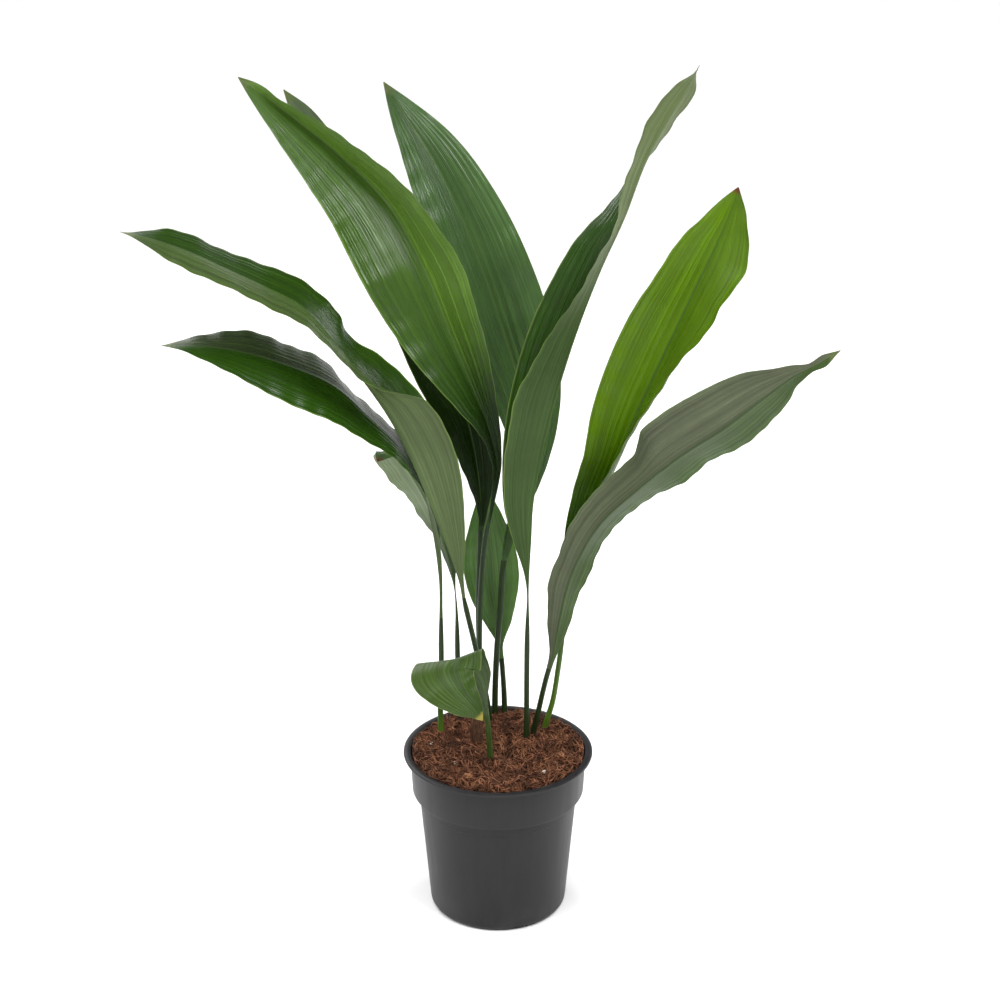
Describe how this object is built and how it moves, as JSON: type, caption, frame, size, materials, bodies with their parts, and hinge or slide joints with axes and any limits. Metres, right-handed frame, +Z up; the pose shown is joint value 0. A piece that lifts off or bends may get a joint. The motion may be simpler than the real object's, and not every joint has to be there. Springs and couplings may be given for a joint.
{
  "type": "potted cast iron plant",
  "caption": "Young cast iron plant with long, folded and arching strap leaves on thin stalks, rooted in coarse mix in a tapered round nursery pot with a wide flat lip",
  "frame": {"origin": "the middle of the pot's flat underside, on the pot's axis", "axes": "+Z up along the pot's axis, -Y the side the plant is seen from, +X to that side's right"},
  "size_m": [0.5674, 0.2498, 0.756],
  "materials": {
    "pot_plastic": "satin black moulded plastic",
    "potting_mix": null,
    "rootstock": null,
    "leaf_dark": null,
    "leaf_mid": null,
    "leaf_bright": null,
    "leaf_pale": null,
    "dry_leaf_foot": "dry brown fibrous leaf foot",
    "bark": "rough orange-brown bark",
    "perlite": null
  },
  "bodies": {
    "root": {"pot": "pot_plastic", "potting_mix": "potting_mix", "rootstock": "rootstock", "leaf_left_long": "leaf_dark", "leaf_left_low": "leaf_dark", "leaf_left_curled": "leaf_pale", "leaf_centre_broad": "leaf_mid", "leaf_behind_left": "leaf_dark", "leaf_behind_centre": "leaf_dark", "leaf_right_tall": "leaf_mid", "leaf_behind_small": "leaf_pale", "leaf_right_bright": "leaf_bright", "leaf_right_low": "leaf_mid", "leaf_front_curled": "leaf_bright", "dry_stub": "dry_leaf_foot", "bark_chip_front": "bark", "bark_chip_right": "bark", "perlite_grain_front": "perlite", "perlite_grain_left": "perlite", "perlite_grain_rim": "perlite"}
  },
  "joints": []
}
